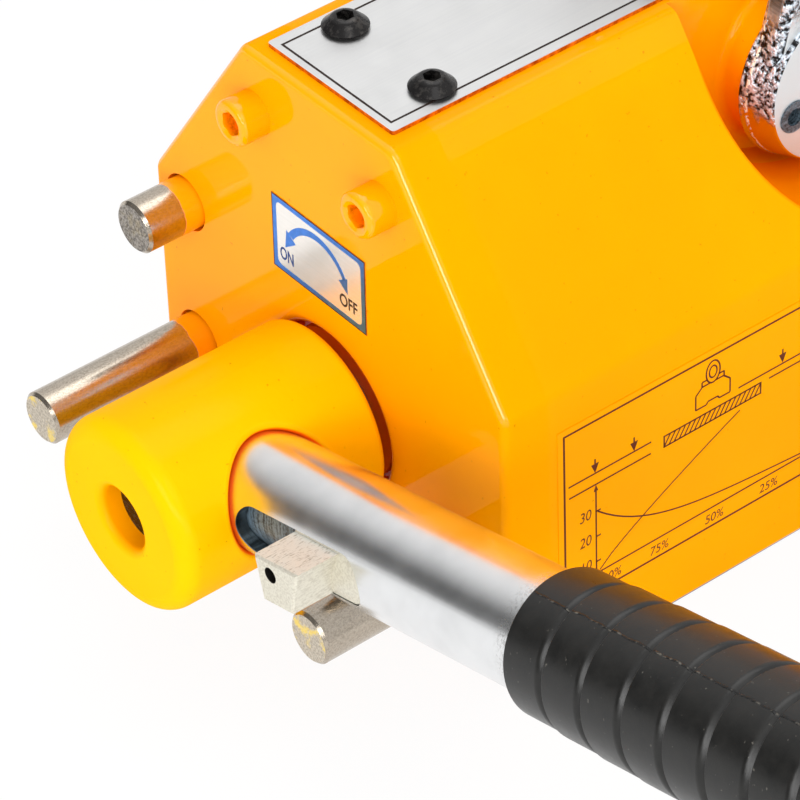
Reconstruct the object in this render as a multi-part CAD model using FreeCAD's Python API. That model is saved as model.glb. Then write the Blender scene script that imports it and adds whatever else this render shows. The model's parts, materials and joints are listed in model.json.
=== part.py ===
import FreeCAD
import Part
import math
import os

V = FreeCAD.Vector
ALONG_X = V(1, 0, 0)
ALONG_Y = V(0, 1, 0)
ALONG_Z = V(0, 0, 1)

# Permanent magnetic lifter, in millimetres. The body lies along X with its handle end at
# negative X and stands on its two pole faces at z = 0. The origin is in the plane of the
# pole faces, under the middle of the body.

# Body
body_length = 232.0
body_width = 122.0
body_height = 128.5
shoulder_height = 77.3
top_width = 51.4
corner_radius = 4.0

# End covers, which stop short of the pole faces
cover_thickness = 12.0
cover_lift = 9.0
cover_edge_radius = 2.0
cover_recess_radius = 20.5
cover_recess_rounding = 2.3
cover_recess_depth = 5.0

# Magnetic circuit
axis_height = 44.0
bore_radius = 30.0
rotor_gap = 0.4
spacer_width = 12.0
groove_width = 32.0
groove_depth = 8.0
stator_magnet_width = 18.0
stator_magnet_height = 10.5
stator_magnet_gap = 0.6
rotor_magnet_thickness = 18.0
rotor_magnet_width = 44.0

# Bridge between the poles, with the neck and the bosses that carry the shackle pin
bridge_width = 59.4
neck_width = 45.0
pocket_radius = 37.5
pocket_rise = 12.7
boss_radius = 21.5
boss_root_radius = 2.0

# Rotor journals and their bushes
journal_radius = 12.5
journal_disc_thickness = 6.0
journal_disc_gap = 1.4
end_play = 0.5
running_clearance = 0.03
bush_wall = 3.5
bush_flange_radius = 18.5
bush_flange_thickness = 2.0
rear_bush_length = 9.0
journal_screw_circle = 21.0
journal_screw_radius = 2.5
journal_screw_depth = 10.0
journal_head_radius = 4.0
journal_head_height = 3.0

# Hub
hub_radius = 23.2
hub_standoff = 2.1
hub_nose = 13.7
hub_web = 2.0
hub_front_radius = 4.5
hub_rear_radius = 2.0
hub_hole_radius = 7.5
hub_hole_rounding = 2.0
hub_entry_rounding = 1.4
key_width = 8.0
key_height = 7.0
key_length = 9.0
grub_length = 8.0
grub_socket = 5.0
grub_socket_depth = 4.0

# Handle tube, which lies against the OFF stop pin
handle_offset = 29.9
tube_radius = 13.5
tube_wall = 3.0
tube_past_axis = 16.5
stop_gap = 0.3

# Grip of stacked rings, each with a sharp near edge and a far end that sinks to a groove
grip_start = 119.4
grip_rings = 9
grip_ring_pitch = 12.6
grip_start_radius = 16.2
grip_middle_radius = 17.2
grip_end_radius = 16.6
grip_groove_depth = 1.1
grip_groove_slope = 1.5
grip_groove_floor = 0.5
grip_shoulder_radius = 2.0
grip_edge_radius = 0.25
grip_end_wall = 4.0
grip_end_rounding = 3.0

# Safety latch
slot_width = 12.4
slot_start = 24.0
slot_length = 43.5
rear_slot_clearance = 0.4
latch_travel = 12.0
slug_clearance = 0.15
slug_overlap = 6.0
slug_tail = 8.0
key_side_clearance = 0.15
key_depth_below_tube = 0.3
block_end_margin = 7.3
block_length = 15.1
block_slant = 5.0
block_height = 11.3
block_reach = 9.5
block_chamfer = 0.5
block_hole_radius = 1.8
block_hole_depth = 5.0
block_hole_inset = 4.9
block_hole_rise = 2.2
stem_radius = 4.0
nose_gap = 1.0
spring_wire_radius = 0.9
spring_radius = 7.4
spring_turns = 6

# Pins on the end cover
stop_pin_radius = 6.35
stop_pin_y = 48.15
stop_pin_drop = 9.25
stop_pin_reach = 44.0
latch_pin_y = 49.7
latch_pin_rise = 28.45
latch_pin_gap = 2.0
pin_seat_depth = 18.0
pin_chamfer = 0.7
pin_hole_clearance = 0.7

# Cover screws
cap_screw_y = 21.5
cap_screw_drop = 15.6
cap_screw_radius = 3.0
cap_screw_depth = 14.0
cap_head_radius = 5.5
cap_head_height = 7.0
cap_head_rounding = 1.4
cap_socket = 5.4
cap_socket_depth = 3.5
cap_socket_rounding = 1.4
cap_socket_flare = 0.5
screw_clearance = 0.3

# Rating plate
plate_inset = 4.2
plate_length = 92.0
plate_width = 42.6
plate_thickness = 1.0
plate_corner_radius = 0.8
plate_screw_inset = 16.0
plate_screw_y = 14.65
button_head_radius = 5.3
button_head_height = 3.2
button_rim_height = 0.8
button_seat_radius = 4.5
button_top_radius = 2.8
button_dome_radius = 2.0
button_screw_depth = 9.0
button_socket = 3.6
button_socket_depth = 2.0

# Stickers
label_thickness = 0.2
switch_label_width = 32.3
switch_label_height = 20.1
switch_label_y = 0.9
switch_label_rise = 40.1
switch_label_tilt = 1.05
chart_inset = 14.3
chart_width = 88.4
chart_height = 52.3
chart_bottom = 14.85

# Shackle: a bow of flat bar that ends in two tapered round ears with ground faces
shackle_pin_web = 7.2
shackle_pin_radius = 8.0
shackle_pin_clearance = 0.05
shackle_pin_chamfer = 0.8
ear_radius = 23.6
ear_face_radius = 20.6
ear_face_rounding = 0.6
ear_gap = 0.5
ear_thickness = 8.8
leg_setback = 1.2
leg_root_rise = 8.0
leg_root_width = 40.6
shackle_bar_width = 26.0
shackle_taper_rise = 35.0
shackle_bow_rise = 68.0
shackle_edge_radius = 2.5
roll_pin_radius = 4.0
roll_pin_bore = 2.2
roll_pin_x = -14.5
roll_pin_drop = 3.9
roll_pin_proud = 0.4

# Places that follow from the sizes above
front_x = -body_length / 2
rear_x = body_length / 2
core_front_x = front_x + cover_thickness
core_rear_x = rear_x - cover_thickness
side_y = body_width / 2
slot_end = slot_start + slot_length
magnet_bottom = axis_height + bore_radius + stator_magnet_gap
magnet_top = magnet_bottom + stator_magnet_height
shackle_pin_z = magnet_top + shackle_pin_web + shackle_pin_radius
pocket_height = shackle_pin_z + pocket_rise
bridge_bottom = pocket_height - pocket_radius
stop_pin_z = axis_height - stop_pin_drop
latch_pin_z = axis_height + latch_pin_rise
switch_label_z = axis_height + switch_label_rise
tube_x = front_x - handle_offset
tube_back_x = tube_x + tube_radius
tube_front_x = tube_x - tube_radius
tube_bore = tube_radius - tube_wall
shaft_end_x = tube_back_x + hub_web
hub_front_x = tube_front_x - hub_nose
hub_rear_x = front_x - hub_standoff
latch_pin_end_x = tube_back_x + latch_pin_gap
bush_radius = journal_radius + bush_wall
rotor_radius = bore_radius - rotor_gap
rotor_front_x = core_front_x + end_play + journal_disc_thickness
rotor_rear_x = core_rear_x - end_play - journal_disc_thickness
cap_screw_z = body_height - cap_screw_drop
ear_inner_y = bridge_width / 2 + ear_gap
ear_outer_y = ear_inner_y + ear_thickness
leg_outer_y = ear_outer_y - leg_setback
grip_end = grip_start + grip_rings * grip_ring_pitch
slug_start = slot_start - slug_overlap
slug_end = slot_end + slug_tail
slug_radius = tube_bore - slug_clearance
block_end = slot_end - block_end_margin
block_start = block_end - block_length
block_middle = (block_start + block_end) / 2
rotor_axis = V(0, 0, axis_height)

# The tube stops where it meets the OFF stop pin, this far above the horizontal
pin_distance = math.hypot(stop_pin_y, stop_pin_drop)
pin_droop = math.atan2(stop_pin_drop, stop_pin_y)
stop_contact = math.asin((tube_radius + stop_pin_radius + stop_gap) / pin_distance)
rest_angle = math.degrees(stop_contact - pin_droop)


def outline(corners):
    """Flat face with straight sides, from its corners as (point, rounding radius)."""
    spans = []
    for i, (point, radius) in enumerate(corners):
        if radius == 0:
            spans.append((point, None, point))
            continue
        back = (corners[i - 1][0] - point).normalize()
        ahead = (corners[(i + 1) % len(corners)][0] - point).normalize()
        half = back.getAngle(ahead) / 2
        tangent = radius / math.tan(half)
        inward = (back + ahead).normalize()
        middle = point + inward * (radius / math.sin(half) - radius)
        spans.append((point + back * tangent, middle, point + ahead * tangent))
    edges = []
    for i, (start, middle, end) in enumerate(spans):
        if middle is not None:
            edges.append(Part.Arc(start, middle, end).toShape())
        edges.append(Part.LineSegment(end, spans[(i + 1) % len(spans)][0]).toShape())
    return Part.Face(Part.Wire(edges))


def box(x0, x1, y0, y1, z0, z1):
    """Block between two values along each axis."""
    return Part.makeBox(x1 - x0, y1 - y0, z1 - z0, V(x0, y0, z0))


def rod_x(radius, x0, x1, y, z):
    """Round bar along X."""
    return Part.makeCylinder(radius, x1 - x0, V(x0, y, z), ALONG_X)


def rod_y(radius, y0, y1, x, z):
    """Round bar along Y."""
    return Part.makeCylinder(radius, y1 - y0, V(x, y0, z), ALONG_Y)


def turned(profile):
    """Solid of revolution about Z from (radius, z, rounding) corners."""
    corners = [(V(radius, 0, z), rounding) for radius, z, rounding in profile]
    return outline(corners).revolve(V(0, 0, 0), ALONG_Z, 360)


def placed(shape, point, direction):
    """Copy of a shape made along Z, set at a point and turned to a direction."""
    copy = shape.copy()
    copy.Placement = FreeCAD.Placement(point, FreeCAD.Rotation(ALONG_Z, direction))
    return copy


def hexagon(across_flats, z0, z1, rounding=0):
    """Hexagonal prism along Z, with rounded corners where a rounding is given."""
    radius = across_flats / math.sqrt(3)
    turns = [math.radians(60 * i) for i in range(6)]
    points = [(V(radius * math.cos(t), radius * math.sin(t), z0), rounding) for t in turns]
    return outline(points).extrude(V(0, 0, z1 - z0))


def body_prism(x0, x1, z0):
    """Stretch of the outer body form, cut off below at z0."""
    half_top = top_width / 2
    corners = [
        (V(x0, -side_y, z0), 0),
        (V(x0, -side_y, shoulder_height), corner_radius),
        (V(x0, -half_top, body_height), corner_radius),
        (V(x0, half_top, body_height), corner_radius),
        (V(x0, side_y, shoulder_height), corner_radius),
        (V(x0, side_y, z0), 0),
    ]
    return outline(corners).extrude(V(x1 - x0, 0, 0))


def in_handle(shape):
    """Turns a shape made along negative Y to the handle's rest angle."""
    turned_shape = shape.copy()
    turned_shape.rotate(rotor_axis, ALONG_X, -rest_angle)
    return turned_shape


def handle_rod(radius, s0, s1):
    """Round bar along the handle, between two distances from the rotor axis."""
    return Part.makeCylinder(radius, s1 - s0, V(tube_x, -s0, axis_height), V(0, -1, 0))


def handle_slot(width, s0, s1, x0, x1):
    """Slot with round ends along the handle, cut through along X."""
    half = width / 2
    slot = box(x0, x1, half - s1, -s0 - half, axis_height - half, axis_height + half)
    slot = slot.fuse(rod_x(half, x0, x1, -s0 - half, axis_height))
    slot = slot.fuse(rod_x(half, x0, x1, half - s1, axis_height))
    return slot.removeSplitter()


def cap_screw(length):
    """Socket cap screw, underside of the head at z = 0 and head above it."""
    screw = turned([
        (0, -length, 0),
        (cap_screw_radius, -length, 0),
        (cap_screw_radius, 0, 0),
        (cap_head_radius, 0, 0),
        (cap_head_radius, cap_head_height, cap_head_rounding),
        (0, cap_head_height, 0),
    ])
    socket = hexagon(
        cap_socket, cap_head_height - cap_socket_depth, cap_head_height, cap_socket_rounding)
    flare = Part.makeCone(
        cap_socket / 2, cap_socket / 2 + 2 * cap_socket_flare, cap_socket_flare,
        V(0, 0, cap_head_height - cap_socket_flare))
    return screw.cut([socket, flare])


def button_screw():
    """Button-head screw, underside of the head at z = 0."""
    length = plate_thickness + button_screw_depth
    screw = turned([
        (0, -length, 0),
        (cap_screw_radius, -length, 0),
        (cap_screw_radius, 0, 0),
        (button_seat_radius, 0, 0),
        (button_head_radius, button_rim_height, 0),
        (button_top_radius, button_head_height, button_dome_radius),
        (0, button_head_height, 0),
    ])
    socket = hexagon(button_socket, button_head_height - button_socket_depth, button_head_height)
    return screw.cut(socket)


def dowel(radius, length):
    """Straight pin along Z with a chamfered outer end."""
    return turned([
        (0, 0, 0),
        (radius, 0, 0),
        (radius, length - pin_chamfer, 0),
        (radius - pin_chamfer, length, 0),
        (0, length, 0),
    ])


def mirrored(points):
    """The points and their mirror images across the middle plane."""
    return points + [(-y, z) for y, z in points]


# Holes that several pieces share
stop_pin_places = mirrored([(-stop_pin_y, stop_pin_z)])
latch_pin_place = (latch_pin_y, latch_pin_z)
front_screw_places = mirrored([(-cap_screw_y, cap_screw_z)])
rear_screw_places = front_screw_places + stop_pin_places
plate_start_x = front_x + plate_inset
plate_end_x = plate_start_x + plate_length
plate_screw_xs = (plate_start_x + plate_screw_inset, plate_end_x - plate_screw_inset)
plate_screw_places = [(x, y) for x in plate_screw_xs for y in (-plate_screw_y, plate_screw_y)]

screw_threads = []
for y, z in front_screw_places:
    screw_threads.append(rod_x(cap_screw_radius, core_front_x, core_front_x + cap_screw_depth, y, z))
for y, z in rear_screw_places:
    screw_threads.append(rod_x(cap_screw_radius, core_rear_x - cap_screw_depth, core_rear_x, y, z))
for x, y in plate_screw_places:
    bottom = V(x, y, body_height - button_screw_depth)
    screw_threads.append(Part.makeCylinder(cap_screw_radius, button_screw_depth, bottom))
pin_seats = []
for y, z in stop_pin_places + [latch_pin_place]:
    pin_seats.append(rod_x(stop_pin_radius, core_front_x, core_front_x + pin_seat_depth, y, z))

# Round-bottomed pocket over each shoulder, open upwards, behind which the neck stands
pocket_form = rod_y(pocket_radius, -side_y, side_y, 0, pocket_height)
pocket_form = pocket_form.fuse(box(
    -pocket_radius, pocket_radius, -side_y, side_y, pocket_height, body_height)).removeSplitter()
neck = box(-pocket_radius, pocket_radius, -neck_width / 2, neck_width / 2, 0, body_height)
pockets = pocket_form.cut(neck)

# Poles and what lies between them
core = body_prism(core_front_x, core_rear_x, 0)
rotor_bore = rod_x(bore_radius, core_front_x, core_rear_x, 0, axis_height)
bridge_room = box(
    core_front_x, core_rear_x, -bridge_width / 2, bridge_width / 2, bridge_bottom, body_height)
magnet_room = box(
    core_front_x, core_rear_x, -stator_magnet_width / 2, stator_magnet_width / 2,
    axis_height, magnet_top)
spacer_room = box(
    core_front_x, core_rear_x, -spacer_width / 2, spacer_width / 2, 0, axis_height)
groove = outline([
    (V(core_front_x, -groove_width / 2, 0), 0),
    (V(core_front_x, 0, groove_depth), 0),
    (V(core_front_x, groove_width / 2, 0), 0),
]).extrude(V(core_rear_x - core_front_x, 0, 0))

poles = core.cut([rotor_bore, bridge_room, magnet_room, spacer_room, groove, pockets])
poles = poles.cut(screw_threads + pin_seats)
far_half = box(core_front_x, core_rear_x, 0, side_y, 0, body_height)
near_half = box(core_front_x, core_rear_x, -side_y, 0, 0, body_height)
pole_far = poles.common(far_half)
pole_near = poles.common(near_half)
bottom_spacer = spacer_room.cut([rotor_bore, groove])
stator_magnet = box(
    core_front_x, core_rear_x, -stator_magnet_width / 2, stator_magnet_width / 2,
    magnet_bottom, magnet_top)

# Bridge: neck and bosses, bored for the shackle pin
boss = rod_y(boss_radius, -bridge_width / 2, bridge_width / 2, 0, shackle_pin_z)
top_bridge = core.common(bridge_room).cut(pockets).fuse(boss).removeSplitter()
root_edges = []
for edge in top_bridge.Edges:
    round_edge = isinstance(edge.Curve, Part.Circle)
    if round_edge and abs(abs(edge.Curve.Center.y) - neck_width / 2) < 1e-6:
        if abs(edge.Curve.Radius - boss_radius) < 1e-6:
            root_edges.append(edge)
root_room = shackle_pin_z - boss_radius - bridge_bottom
top_bridge = top_bridge.makeFillet(min(boss_root_radius, 0.8 * root_room), root_edges).common(core)
shackle_bore = rod_y(
    shackle_pin_radius + shackle_pin_clearance, -side_y, side_y, 0, shackle_pin_z)
top_bridge = top_bridge.cut([shackle_bore, magnet_room, rotor_bore] + screw_threads)


def end_cover(x0, x1, outer_x):
    """End cover with rounded outer edges."""
    cover = body_prism(x0, x1, cover_lift)
    rim = [e for e in cover.Edges if all(abs(v.X - outer_x) < 1e-6 for v in e.Vertexes)]
    return cover.makeFillet(cover_edge_radius, rim)


screw_hole_radius = cap_screw_radius + screw_clearance
pin_hole_radius = stop_pin_radius + pin_hole_clearance
recess_floor_x = front_x + cover_recess_depth
recess_edge = cover_recess_radius + 2 * cover_recess_rounding
front_recess = placed(turned([
    (0, 0, 0),
    (cover_recess_radius, 0, 0),
    (cover_recess_radius, cover_recess_depth, cover_recess_rounding),
    (recess_edge, cover_recess_depth, 0),
    (recess_edge, cover_recess_depth * 2, 0),
    (0, cover_recess_depth * 2, 0),
]), V(recess_floor_x, 0, axis_height), -ALONG_X)
front_holes = [
    front_recess,
    rod_x(bush_radius, recess_floor_x, core_front_x, 0, axis_height),
]
for y, z in front_screw_places:
    front_holes.append(rod_x(screw_hole_radius, front_x, core_front_x, y, z))
for y, z in stop_pin_places + [latch_pin_place]:
    front_holes.append(rod_x(pin_hole_radius, front_x, core_front_x, y, z))
front_cover = end_cover(front_x, core_front_x, front_x).cut(front_holes)

rear_bush_end_x = core_rear_x + rear_bush_length
rear_holes = [rod_x(bush_radius, core_rear_x, rear_bush_end_x, 0, axis_height)]
for y, z in rear_screw_places:
    rear_holes.append(rod_x(screw_hole_radius, core_rear_x, rear_x, y, z))
rear_cover = end_cover(core_rear_x, rear_x, rear_x).cut(rear_holes)

cover_screw = cap_screw(cover_thickness + cap_screw_depth)
front_cover_screws = Part.makeCompound(
    [placed(cover_screw, V(front_x, y, z), -ALONG_X) for y, z in front_screw_places])
rear_cover_screws = Part.makeCompound(
    [placed(cover_screw, V(rear_x, y, z), ALONG_X) for y, z in rear_screw_places])

# Bushes
bush_bore = journal_radius + running_clearance
flange_front_x = recess_floor_x - bush_flange_thickness
front_bush = rod_x(bush_radius, recess_floor_x, core_front_x, 0, axis_height)
front_bush = front_bush.fuse(
    rod_x(bush_flange_radius, flange_front_x, recess_floor_x, 0, axis_height)).removeSplitter()
front_bush = front_bush.cut(rod_x(bush_bore, flange_front_x, core_front_x, 0, axis_height))
rear_bush = rod_x(bush_radius, core_rear_x, rear_bush_end_x, 0, axis_height)
rear_bush = rear_bush.cut(rod_x(bush_bore, core_rear_x, rear_bush_end_x, 0, axis_height))

# Pins that stand out of the end cover
pin_root_x = core_front_x + pin_seat_depth
stop_pin = dowel(stop_pin_radius, pin_root_x - front_x + stop_pin_reach)
off_stop_pin = placed(stop_pin, V(pin_root_x, -stop_pin_y, stop_pin_z), -ALONG_X)
on_stop_pin = placed(stop_pin, V(pin_root_x, stop_pin_y, stop_pin_z), -ALONG_X)
latch_pin = placed(
    dowel(stop_pin_radius, pin_root_x - latch_pin_end_x),
    V(pin_root_x, latch_pin_place[0], latch_pin_place[1]), -ALONG_X)

# Rating plate and its screws
plate_top = body_height + plate_thickness
rating_plate = outline([
    (V(plate_start_x, -plate_width / 2, body_height), plate_corner_radius),
    (V(plate_end_x, -plate_width / 2, body_height), plate_corner_radius),
    (V(plate_end_x, plate_width / 2, body_height), plate_corner_radius),
    (V(plate_start_x, plate_width / 2, body_height), plate_corner_radius),
]).extrude(V(0, 0, plate_thickness))
for x, y in plate_screw_places:
    rating_plate = rating_plate.cut(
        Part.makeCylinder(screw_hole_radius, plate_thickness, V(x, y, body_height)))
plate_screws = Part.makeCompound(
    [placed(button_screw(), V(x, y, plate_top), ALONG_Z) for x, y in plate_screw_places])

# Stickers
switch_label = box(
    front_x - label_thickness, front_x,
    switch_label_y - switch_label_width / 2, switch_label_y + switch_label_width / 2,
    switch_label_z - switch_label_height / 2, switch_label_z + switch_label_height / 2)
switch_label.rotate(V(front_x, switch_label_y, switch_label_z), ALONG_X, switch_label_tilt)
chart_start_x = front_x + chart_inset
chart_label = box(
    chart_start_x, chart_start_x + chart_width, -side_y - label_thickness, -side_y,
    chart_bottom, chart_bottom + chart_height)

# Rotor: magnet slab between two steel segments, with brass strips at the slab's edges
rotor = rod_x(rotor_radius, rotor_front_x, rotor_rear_x, 0, axis_height)
slab_low = axis_height - rotor_magnet_thickness / 2
slab_high = axis_height + rotor_magnet_thickness / 2
slab = box(rotor_front_x, rotor_rear_x, -bore_radius, bore_radius, slab_low, slab_high)
rotor_magnet = box(
    rotor_front_x, rotor_rear_x, -rotor_magnet_width / 2, rotor_magnet_width / 2,
    slab_low, slab_high)
rotor_spacers = rotor.common(slab).cut(rotor_magnet)
segments = rotor.cut(slab)
disc_radius = rotor_radius - journal_disc_gap
journal_screw = turned([
    (0, -journal_screw_depth - journal_disc_thickness, 0),
    (journal_screw_radius, -journal_screw_depth - journal_disc_thickness, 0),
    (journal_screw_radius, -journal_head_height, 0),
    (journal_head_radius, -journal_head_height, 0),
    (journal_head_radius, 0, 0),
    (0, 0, 0),
])
journal_screw_list = []
for turn in (45, 135, 225, 315):
    y = journal_screw_circle * math.cos(math.radians(turn))
    z = axis_height + journal_screw_circle * math.sin(math.radians(turn))
    front_place = V(rotor_front_x - journal_disc_thickness, y, z)
    rear_place = V(rotor_rear_x + journal_disc_thickness, y, z)
    journal_screw_list.append(placed(journal_screw, front_place, -ALONG_X))
    journal_screw_list.append(placed(journal_screw, rear_place, ALONG_X))
journal_screws = Part.makeCompound(journal_screw_list)
segments = segments.cut(journal_screw_list)
rotor_pole_lower = segments.common(
    box(rotor_front_x, rotor_rear_x, -bore_radius, bore_radius, 0, axis_height))
rotor_pole_upper = segments.common(
    box(rotor_front_x, rotor_rear_x, -bore_radius, bore_radius, axis_height, body_height))

# Journals, the front one keyed to the hub
front_disc_x = rotor_front_x - journal_disc_thickness
rear_disc_x = rotor_rear_x + journal_disc_thickness
hub_key = box(
    shaft_end_x, shaft_end_x + key_length, -key_width / 2, key_width / 2,
    axis_height + journal_radius - key_height / 2, axis_height + journal_radius + key_height / 2)
front_journal = rod_x(disc_radius, front_disc_x, rotor_front_x, 0, axis_height)
front_journal = front_journal.fuse(
    rod_x(journal_radius, shaft_end_x, front_disc_x, 0, axis_height)).removeSplitter()
front_journal = front_journal.cut(journal_screw_list + [hub_key])
rear_journal = rod_x(disc_radius, rotor_rear_x, rear_disc_x, 0, axis_height)
rear_journal = rear_journal.fuse(
    rod_x(journal_radius, rear_disc_x, rear_bush_end_x - end_play, 0, axis_height)).removeSplitter()
rear_journal = rear_journal.cut(journal_screw_list)

# Hub: turned body with a rounded nose, bored for the shaft, the tube and the grub screw
hub_height = hub_rear_x - hub_front_x
hub = placed(turned([
    (0, 0, 0),
    (hub_radius, 0, hub_rear_radius),
    (hub_radius, hub_height, hub_front_radius),
    (0, hub_height, 0),
]), V(hub_rear_x, 0, axis_height), -ALONG_X)
grub_hole_depth = hub_nose + tube_wall
hub_hole = placed(turned([
    (0, -grub_hole_depth, 0),
    (hub_hole_radius, -grub_hole_depth, 0),
    (hub_hole_radius, 0, hub_hole_rounding),
    (hub_radius, 0, 0),
    (hub_radius, hub_nose, 0),
    (0, hub_nose, 0),
]), V(hub_front_x, 0, axis_height), -ALONG_X)
tube_room = in_handle(handle_rod(tube_radius, -tube_past_axis, hub_radius * 2))
hub = hub.cut(tube_room)
entry_edges = [
    e for e in hub.Edges if e.BoundBox.YMax < 0 and e.BoundBox.XLength < 2.01 * tube_radius]
hub = hub.makeFillet(hub_entry_rounding, entry_edges)
hub = hub.cut([
    rod_x(journal_radius, shaft_end_x, hub_rear_x, 0, axis_height), hub_key, hub_hole])
grub_front_x = tube_front_x - grub_length
hub_grub_screw = placed(
    Part.makeCylinder(hub_hole_radius, grub_length).cut(
        hexagon(grub_socket, grub_length - grub_socket_depth, grub_length)),
    V(tube_front_x, 0, axis_height), -ALONG_X)

# Handle tube, slotted in front for the latch block and behind for its nose
handle_tube = handle_rod(tube_radius, -tube_past_axis, grip_end - grip_end_wall)
handle_tube = handle_tube.cut(handle_rod(tube_bore, -tube_past_axis, grip_end))
rear_slot_width = 2 * (stem_radius + rear_slot_clearance)
handle_tube = handle_tube.cut(
    handle_slot(slot_width, slot_start, slot_end, tube_front_x - tube_radius, tube_x))
handle_tube = handle_tube.cut(handle_slot(
    rear_slot_width, block_middle - latch_travel - rear_slot_width / 2,
    block_middle + rear_slot_width / 2, tube_x, tube_back_x + tube_radius))
handle_tube = in_handle(handle_tube)


def grip_crest(i):
    """Radius of ring i, on a barrel form."""
    share = i / (grip_rings - 1)
    straight = grip_start_radius + (grip_end_radius - grip_start_radius) * share
    bulge = grip_middle_radius - (grip_start_radius + grip_end_radius) / 2
    return straight + 4 * bulge * share * (1 - share)


# Grip: each ring starts with a step and its far shoulder rolls into the next groove
grip_profile = [(tube_radius, grip_start, 0)]
for i in range(grip_rings - 1):
    ring_start = grip_start + i * grip_ring_pitch
    groove_end = ring_start + grip_ring_pitch
    groove_start = groove_end - grip_groove_floor
    shoulder = groove_start - grip_groove_slope
    crest = grip_crest(i)
    groove = crest - grip_groove_depth
    grip_profile.append((crest, ring_start, grip_edge_radius))
    grip_profile.append((crest, shoulder, grip_shoulder_radius))
    grip_profile.append((groove, groove_start, grip_shoulder_radius / 4))
    grip_profile.append((groove, groove_end, 0))
last_crest = grip_crest(grip_rings - 1)
grip_profile.append((last_crest, grip_end - grip_ring_pitch, grip_edge_radius))
grip_profile.append((last_crest, grip_end, grip_end_rounding))
grip_profile.append((0, grip_end, 0))
grip_profile.append((0, grip_end - grip_end_wall, 0))
grip_profile.append((tube_radius, grip_end - grip_end_wall, 0))
grip = in_handle(placed(turned(grip_profile), V(tube_x, 0, axis_height), V(0, -1, 0)))

# Latch: slug in the tube, and the finger block with its key and its stem through the slug
slug = handle_rod(slug_radius, slug_start, slug_end)
stem_hole = rod_x(stem_radius, tube_front_x, tube_back_x, -block_middle, axis_height)
latch_slug = in_handle(slug.cut(stem_hole))

key_width_in_slot = slot_width - 2 * key_side_clearance
latch_key = handle_slot(
    key_width_in_slot, block_start - key_width_in_slot / 2, slot_end - stop_gap,
    tube_front_x, tube_x)
latch_key = latch_key.common(
    handle_rod(tube_radius - key_depth_below_tube, block_start, slot_end))
finger_front_x = tube_front_x - block_reach
block_top = axis_height + block_height / 2
block_bottom = axis_height - block_height / 2
finger_block = outline([
    (V(finger_front_x, -block_start, block_bottom), 0),
    (V(finger_front_x, block_slant - block_end, block_bottom), 0),
    (V(finger_front_x, -block_end, block_top), 0),
    (V(finger_front_x, -block_start, block_top), 0),
]).extrude(V(tube_x - finger_front_x, 0, 0))
front_edges = [
    e for e in finger_block.Edges if all(abs(v.X - finger_front_x) < 1e-6 for v in e.Vertexes)]
finger_block = finger_block.makeChamfer(block_chamfer, front_edges)
stem = rod_x(stem_radius, tube_x, latch_pin_end_x - nose_gap, -block_middle, axis_height)
stem_root = rod_x(stem_radius, tube_front_x, tube_x, -block_middle, axis_height)
latch_block = finger_block.fuse(latch_key).cut(handle_rod(slug_radius, slug_start, slug_end))
latch_block = latch_block.fuse([stem_root, stem]).removeSplitter()
latch_block = in_handle(latch_block.cut(rod_x(
    block_hole_radius, finger_front_x, finger_front_x + block_hole_depth,
    -block_start - block_hole_inset, axis_height + block_hole_rise)))

# Latch spring between the blind end of the tube's seat and the slug
spring_length = slug_start + tube_past_axis - 2 * spring_wire_radius
spring_path = Part.makeHelix(spring_length / spring_turns, spring_length, spring_radius)
spring_wire = Part.Wire(Part.makeCircle(spring_wire_radius, V(spring_radius, 0, 0), ALONG_Y))
spring = Part.Wire(spring_path.Edges).makePipeShell([spring_wire], True, True)
latch_spring = in_handle(placed(
    spring, V(tube_x, tube_past_axis - spring_wire_radius, axis_height), V(0, -1, 0)))

# Shackle: a U of flat bar seen along X, trimmed to a waisted bar seen along Y, with its ears
bow_z = shackle_pin_z + shackle_bow_rise
leg_root_z = shackle_pin_z + leg_root_rise
half_root = leg_root_width / 2
half_bar = shackle_bar_width / 2


def stirrup(half_width):
    """Round-topped block under the bow."""
    legs = box(-half_root, half_root, -half_width, half_width, leg_root_z, bow_z)
    return legs.fuse(rod_x(half_width, -half_root, half_root, 0, bow_z)).removeSplitter()


pin_centre = V(0, 0, shackle_pin_z)
waist = outline([
    (V(-half_root, -leg_outer_y, leg_root_z), 0),
    (V(half_root, -leg_outer_y, leg_root_z), 0),
    (V(half_bar, -leg_outer_y, shackle_pin_z + shackle_taper_rise), 0),
    (V(half_bar, -leg_outer_y, bow_z + leg_outer_y), 0),
    (V(-half_bar, -leg_outer_y, bow_z + leg_outer_y), 0),
    (V(-half_bar, -leg_outer_y, shackle_pin_z + shackle_taper_rise), 0),
]).extrude(V(0, 2 * leg_outer_y, 0))
shackle = stirrup(leg_outer_y).cut(stirrup(ear_inner_y)).common(waist)
leg_thickness = leg_outer_y - ear_inner_y
shackle = shackle.makeFillet(min(shackle_edge_radius, 0.4 * leg_thickness), shackle.Edges)
ear = turned([
    (0, 0, 0),
    (ear_radius, 0, ear_face_rounding),
    (ear_face_radius, ear_thickness, ear_face_rounding),
    (0, ear_thickness, 0),
])
ear_places = [(-ear_inner_y, -ALONG_Y), (ear_inner_y, ALONG_Y)]
shackle = shackle.fuse([placed(ear, V(0, y, shackle_pin_z), out) for y, out in ear_places])
shackle = shackle.removeSplitter()
roll_pin_z = shackle_pin_z - roll_pin_drop
shackle = shackle.cut([
    rod_y(shackle_pin_radius, -ear_outer_y, ear_outer_y, 0, shackle_pin_z),
    rod_y(roll_pin_radius, -ear_outer_y, -ear_inner_y, roll_pin_x, roll_pin_z)])
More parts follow.
